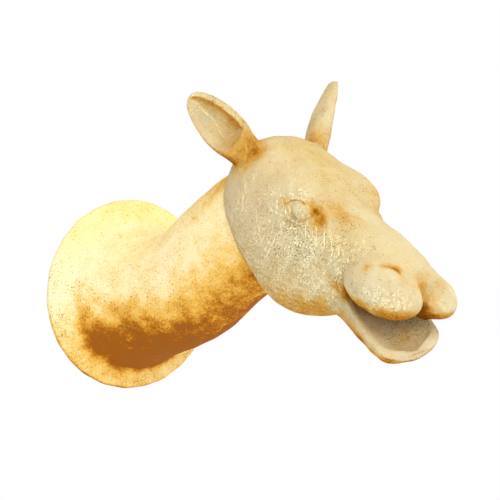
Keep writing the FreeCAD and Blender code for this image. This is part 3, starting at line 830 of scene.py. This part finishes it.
# ---------------------------------------------------------------- materials
class Material:
    """One material's node tree, with short ways to add to it."""

    def __init__(self, name, roughness, metallic=0.0, specular=0.5):
        self.made = bpy.data.materials.new(name)
        self.made.use_nodes = True
        self.tree = self.made.node_tree
        self.shader = self.tree.nodes["Principled BSDF"]
        self.shader.inputs["Roughness"].default_value = roughness
        self.shader.inputs["Metallic"].default_value = metallic
        self.shader.inputs["Specular IOR Level"].default_value = specular
        self.place = self.tree.nodes.new("ShaderNodeTexCoord").outputs["Object"]

    def node(self, kind, inputs=(), **settings):
        """A new node, with values or links for its inputs."""
        node = self.tree.nodes.new("ShaderNode" + kind)
        for key, value in settings.items():
            setattr(node, key, value)
        for key, value in dict(inputs).items():
            self.put(node.inputs[key], value)
        return node

    def put(self, socket, value):
        """Links the socket to another, or sets its value."""
        if isinstance(value, bpy.types.NodeSocket):
            self.tree.links.new(value, socket)
        else:
            socket.default_value = value

    def attribute(self, name):
        return self.node("Attribute", attribute_name=name).outputs["Fac"]

    def noise(self, scale, detail=3.0, rough=0.55, place=None):
        return self.node("TexNoise", {"Vector": place or self.place, "Scale": scale, "Detail": detail,
                                      "Roughness": rough}).outputs["Fac"]

    def voronoi(self, scale, output="Distance"):
        return self.node("TexVoronoi", {"Vector": self.place, "Scale": scale}).outputs[output]

    def math(self, operation, a, b=0.0, clamp=False):
        return self.node("Math", {0: a, 1: b}, operation=operation, use_clamp=clamp).outputs[0]

    def span(self, value, start, end, low=0.0, high=1.0):
        """The value stretched from start..end to low..high, and held there."""
        return self.node("MapRange", {"Value": value, "From Min": start, "From Max": end,
                                      "To Min": low, "To Max": high}).outputs["Result"]

    def mix(self, amount, a, b):
        return self.node("Mix", {0: amount, 6: a, 7: b}, data_type="RGBA").outputs[2]

    def ramp(self, value, stops):
        """The colour between the stops that the value falls among."""
        node = self.node("ValToRGB", {"Fac": value})
        elements = node.color_ramp.elements
        while len(elements) < len(stops):
            elements.new(0.5)
        for element, (place, colour) in zip(elements, stops):
            element.position, element.color = place, colour
        return node.outputs["Color"]

    def stretched(self, x, y, z):
        """Coordinates that change this many times as fast along each axis."""
        return self.node("Mapping", {"Vector": self.place, "Scale": (x, y, z)}).outputs["Vector"]

    def finish(self, colour, height=None, depth=0.0005, strength=1.0, roughness=None):
        """Sets the shader's colour, relief (depth in metres) and roughness, and gives the material."""
        self.put(self.shader.inputs["Base Color"], colour)
        if roughness is not None:
            self.put(self.shader.inputs["Roughness"], roughness)
        if height is not None:
            bump = self.node("Bump", {"Height": height, "Distance": depth, "Strength": strength})
            self.put(self.shader.inputs["Normal"], bump.outputs["Normal"])
        return self.made


def rgb(r, g, b):
    """An opaque colour."""
    return (r, g, b, 1.0)


def cast_stone():
    """Cream stone under a rubbed ochre and brown wash, with pits and dark specks. Shade is painted in
    too, as more wash and more specks in folds, hollows and on undersides.
    """
    pit_scale, pit_share = 290, 0.24
    m = Material("cast_stone", 0.82, specular=0.08)
    broad, middle, fine = m.noise(11, 4), m.noise(48, 5, 0.6), m.noise(330, 4, 0.65)
    # stain and grime carry painted shade as well as real staining and grime
    stain_and_shade, grime_and_shade = m.attribute("stain_and_shade"), m.attribute("grime_and_shade")

    # how thick the wash and the painted shade are, broken up by clouds, blotches and grain
    wash_and_shade = m.math("MULTIPLY", stain_and_shade, m.span(broad, 0.3, 0.7, 0.78, 1.16))
    blotch = m.math("MULTIPLY", m.span(middle, 0.3, 0.7, -0.17, 0.2), m.math("ADD", stain_and_shade, 0.32))
    grain = m.math("MULTIPLY", m.span(fine, 0.3, 0.7, -0.12, 0.14), m.math("ADD", stain_and_shade, 0.38))
    wash_and_shade = m.math("ADD", m.math("ADD", wash_and_shade, blotch), grain, clamp=True)

    # the bare stone, pinker and yellower in places
    cream = m.mix(m.span(broad, 0.35, 0.65), rgb(0.96, 0.88, 0.60), rgb(0.95, 0.83, 0.50))
    blush = m.math("MULTIPLY", m.attribute("blush"), 0.7, clamp=True)
    cream = m.mix(blush, cream, rgb(0.94, 0.79, 0.53))
    yellow = m.math("MULTIPLY", m.attribute("yellow"), m.span(middle, 0.3, 0.7, 0.55, 1.1), clamp=True)
    cream = m.mix(yellow, cream, rgb(0.93, 0.71, 0.25))

    # the wash and the painted shade, from thin ochre to thick brown
    washed_and_shaded = m.ramp(wash_and_shade, [(0.0, rgb(0.91, 0.72, 0.36)), (0.35, rgb(0.90, 0.62, 0.20)),
                           (0.6, rgb(0.82, 0.45, 0.07)), (0.82, rgb(0.57, 0.21, 0.010)),
                           (1.0, rgb(0.37, 0.105, 0.003))])
    colour = m.mix(m.span(wash_and_shade, 0.06, 0.42), cream, washed_and_shaded)

    # dark specks and pits, more of them where there is grime and where shade is painted: in folds, in
    # the ears' hollows and low on the neck
    specks = m.noise(620, 2, 0.5)
    edge = m.math("SUBTRACT", 0.67, m.math("MULTIPLY", grime_and_shade, m.span(middle, 0.35, 0.65, 0.05, 0.17)))
    speck = m.math("MULTIPLY", m.math("SUBTRACT", specks, edge), 14.0, clamp=True)
    colour = m.mix(m.math("MULTIPLY", speck, 0.7), colour, rgb(0.24, 0.15, 0.05))
    pit_cell = m.voronoi(pit_scale)
    pit_pick = m.node("SeparateColor", {"Color": m.voronoi(pit_scale, "Color")}).outputs[0]
    rare = m.math("MULTIPLY", grime_and_shade, pit_share)
    pit = m.math("MULTIPLY", m.span(pit_cell, 0.26, 0.10), m.math("LESS_THAN", pit_pick, rare))
    colour = m.mix(m.math("MULTIPLY", pit, 0.6), colour, rgb(0.20, 0.13, 0.05))

    # relief
    height = m.math("ADD", m.math("MULTIPLY", middle, 1.4), m.math("MULTIPLY", fine, 0.5))
    height = m.math("SUBTRACT", height, m.math("MULTIPLY", pit, 1.2))
    height = m.math("SUBTRACT", height, m.math("MULTIPLY", speck, 0.35))
    rough = m.span(fine, 0.3, 0.7, 0.72, 0.92)
    return m.finish(colour, height, 0.0009, 0.7, rough)


def spangled_steel(name, tint, scale, roughness):
    """Zinc on steel: a patchwork of crystals, each with its own grey and gloss."""
    m = Material(name, roughness, 1.0)
    crystal = m.node("SeparateColor", {"Color": m.voronoi(scale, "Color")}).outputs[0]
    cloud = m.noise(scale * 0.4, 4)
    shade = m.math("ADD", m.math("MULTIPLY", crystal, 0.5), m.math("MULTIPLY", cloud, 0.5))
    colour = m.mix(m.span(shade, 0.2, 0.8), rgb(*(c * 0.72 for c in tint)), rgb(*tint))
    worn = m.noise(25, 5, 0.7)
    colour = m.mix(m.span(worn, 0.58, 0.75, 0, 0.5), colour, rgb(0.30, 0.27, 0.23))
    gloss = m.span(shade, 0.2, 0.8, roughness - 0.1, roughness + 0.15)
    return m.finish(colour, cloud, 0.0001, 0.6, gloss)


def plywood():
    """Birch plywood: long grain on the faces, thin plies on the edges."""
    m = Material("plywood", 0.62)
    grain = m.noise(9, 6, 0.6, m.stretched(1.5, 60, 14))
    fibre = m.noise(60, 4, 0.6, m.stretched(1, 8, 14))
    ply = m.node("TexWave", {"Vector": m.place, "Scale": 130, "Distortion": 0.6}, wave_type="BANDS",
                 bands_direction="Y").outputs["Fac"]
    colour = m.mix(m.span(grain, 0.3, 0.7), rgb(0.62, 0.42, 0.22), rgb(0.44, 0.27, 0.12))
    colour = m.mix(m.span(ply, 0.35, 0.65, 0, 0.35), colour, rgb(0.36, 0.20, 0.09))
    colour = m.mix(m.span(fibre, 0.5, 0.75, 0, 0.4), colour, rgb(0.30, 0.17, 0.08))
    return m.finish(colour, fibre, 0.0003, 0.6, m.span(fibre, 0.3, 0.7, 0.5, 0.75))


def glass_fibre():
    """Resin-bonded glass mat: pale green-grey with tangled strands."""
    m = Material("glass_fibre", 0.35)
    strands = m.noise(120, 6, 0.75, m.stretched(1, 1, 6))
    across = m.noise(120, 6, 0.75, m.stretched(6, 1, 1))
    weave = m.math("MAXIMUM", strands, across)
    colour = m.mix(m.span(weave, 0.5, 0.72), rgb(0.42, 0.46, 0.34), rgb(0.68, 0.70, 0.56))
    return m.finish(colour, weave, 0.0004, 0.7)


def felt():
    """Dark grey needled felt."""
    m = Material("felt", 0.95, specular=0.1)
    fibre = m.noise(900, 5, 0.8)
    clump = m.noise(160, 4, 0.6)
    colour = m.mix(m.span(fibre, 0.35, 0.65), rgb(0.07, 0.065, 0.06), rgb(0.19, 0.175, 0.16))
    colour = m.mix(m.span(clump, 0.4, 0.7, 0, 0.4), colour, rgb(0.12, 0.10, 0.09))
    return m.finish(colour, m.math("ADD", fibre, clump), 0.0006, 1.0)


galvanised = spangled_steel("galvanised_steel", (0.62, 0.64, 0.66), 110, 0.42)
zinc_plated = spangled_steel("zinc_plated_steel", (0.76, 0.76, 0.72), 420, 0.30)
finishes = {
    galvanised: ("armature_tube", "armature_plate", "hanger_rail", "wall_plate"),
    zinc_plated: ("armature_bolts", "armature_nuts", "board_screws", "hanger_screws", "tube_pin",
                  "ear_pins", "jaw_pins"),
    plywood(): ("back_board", "head_bulkhead"),
    glass_fibre(): ("joint_sleeve",),
    felt(): ("wall_pads",),
}
for material, names in finishes.items():
    for name in names:
        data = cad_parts[name].data
        data.materials.clear()
        data.materials.append(material)

stone = cast_stone()
STANDS_FOR = {
    "cast_neck": ("neck_shell_left", "neck_shell_right"),
    "cast_head": ("head_shell_left", "head_shell_right"),
    "cast_lower_lip": ("lower_jaw",),
    "cast_ear_left": ("ear_left",),
    "cast_ear_right": ("ear_right",),
}
for name, piece in make_castings().items():
    finish_stone(piece)
    piece.data.materials.clear()
    piece.data.materials.append(stone)
    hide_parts(*STANDS_FOR[name])
    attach(piece, "sculpture")

# ---------------------------------------------------------------- stage, light and camera
FLOOR_LEVEL, FLOOR_SIDE, FLOOR_FRONT, FLOOR_BACK = -1.1, 4.0, -5.0, 1.5


def pale_floor():
    """A plain pale rectangle, level, well below the sculpture."""
    corners = [(-FLOOR_SIDE, FLOOR_FRONT), (FLOOR_SIDE, FLOOR_FRONT),
               (FLOOR_SIDE, FLOOR_BACK), (-FLOOR_SIDE, FLOOR_BACK)]
    mesh = bpy.data.meshes.new("floor")
    mesh.from_pydata([(x, y, FLOOR_LEVEL) for x, y in corners], [], [(0, 1, 2, 3)])
    mesh.materials.append(Material("pale_floor", 0.9).finish(rgb(0.93, 0.93, 0.92)))
    obj = bpy.data.objects.new("floor", mesh)
    bpy.context.scene.collection.objects.link(obj)
    return obj


def soft_light(name, place, aim, size, power):
    """A square area light of this size (m) and power (W), turned to its aim."""
    light = bpy.data.lights.new(name, "AREA")
    light.size, light.energy = size, power
    obj = bpy.data.objects.new(name, light)
    obj.location = place
    obj.rotation_euler = (Vector(aim) - Vector(place)).to_track_quat("-Z", "Y").to_euler()
    bpy.context.scene.collection.objects.link(obj)


floor = pale_floor()

centre = (np.array(cad_box[0]) + np.array(cad_box[1])) / 2
soft_light("key", (-0.7, -1.9, 1.5), centre, 1.4, 27)
soft_light("side", (-1.3, -2.0, 0.5), centre, 1.6, 6)
soft_light("fill", (1.4, -1.8, 0.3), centre, 2.0, 13)


def white_world(light, seen):
    """A white world that is this strong as light, and this strong where the camera sees it."""
    world = bpy.data.worlds.new("white")
    world.use_nodes = True
    nodes, links = world.node_tree.nodes, world.node_tree.links
    either = nodes.new("ShaderNodeMixShader")
    links.new(nodes.new("ShaderNodeLightPath").outputs["Is Camera Ray"], either.inputs[0])
    backgrounds = (nodes["Background"], nodes.new("ShaderNodeBackground"))
    for socket, background, strength in zip((1, 2), backgrounds, (light, seen)):
        background.inputs["Color"].default_value = rgb(1, 1, 1)
        background.inputs["Strength"].default_value = strength
        links.new(background.outputs[0], either.inputs[socket])
    links.new(either.outputs[0], nodes["World Output"].inputs["Surface"])
    return world


bpy.context.scene.world = white_world(light=0.82, seen=1.0)

# The photograph's view: level, from the front and the sculpture's right.
camera_data = bpy.data.cameras.new("camera")
camera_data.sensor_width, camera_data.lens = 36.0, 118.44
camera = bpy.data.objects.new("camera", camera_data)
camera.location = (-1.1797, -1.9817, 0.0611)
camera.rotation_euler = (math.radians(90), 0, math.radians(-35))
bpy.context.scene.collection.objects.link(camera)
bpy.context.scene.camera = camera
bpy.context.scene.view_settings.view_transform = "Standard"
